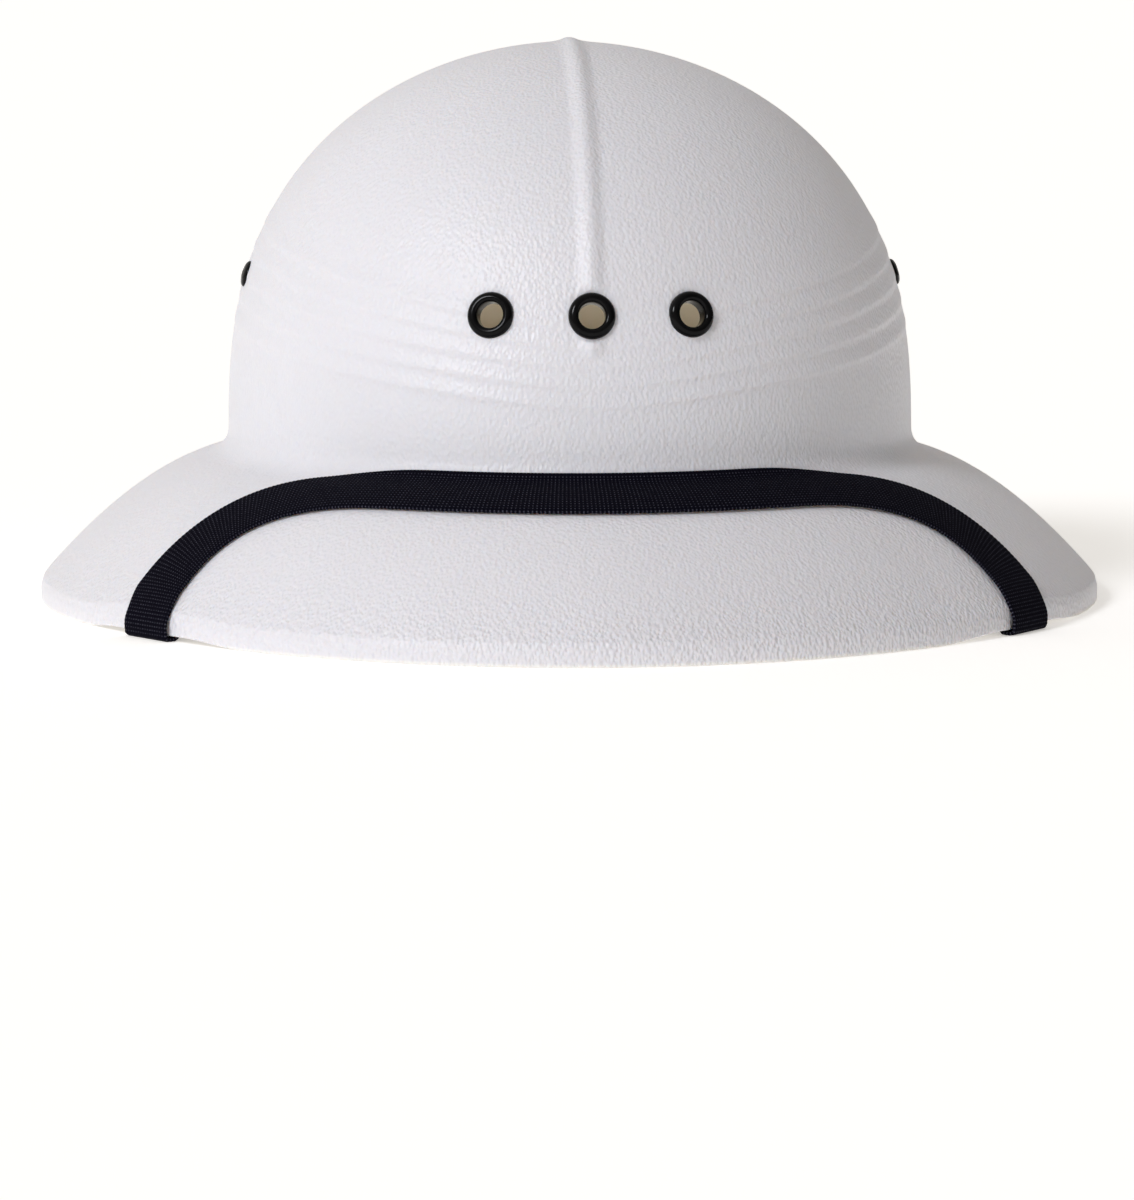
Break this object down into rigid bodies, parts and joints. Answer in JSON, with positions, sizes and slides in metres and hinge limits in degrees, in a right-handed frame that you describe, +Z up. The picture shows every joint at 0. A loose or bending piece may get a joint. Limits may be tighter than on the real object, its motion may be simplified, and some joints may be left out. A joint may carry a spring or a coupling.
{
  "type": "pith helmet",
  "caption": "Domed sun helmet with a wide sloping brim, a ridge and low pleats, front vents, an inner headband and a chin strap worn over the brim.",
  "frame": {"origin": "on the surface that the rim stands on, under the middle of the rim's box", "axes": "+Z up through the crown, -Y towards the front, +X to the right of someone facing the front"},
  "size_m": [0.304, 0.346, 0.1597],
  "materials": {
    "shell_plastic": "white polyethylene with a fine pebbled grain outside, smooth and warmer inside",
    "band_plastic": "smooth milky white plastic strip",
    "black_enamel": "gloss black enamel on rolled metal",
    "strap_webbing": "very dark navy webbing with fine cross ribs"
  },
  "bodies": {
    "root": {"shell_crown": "shell_plastic", "shell_brim": "shell_plastic", "vent_grommet_left": "black_enamel", "vent_grommet_centre": "black_enamel", "vent_grommet_right": "black_enamel", "side_rivet_left": "black_enamel", "side_rivet_right": "black_enamel", "headband_front": "band_plastic", "headband_rear": "band_plastic", "side_hanger_left": "band_plastic", "side_hanger_right": "band_plastic", "hanger_stud_left": "band_plastic", "hanger_stud_right": "band_plastic", "strap_stud_left": "black_enamel", "strap_stud_right": "black_enamel", "chin_strap": "strap_webbing"}
  },
  "joints": []
}
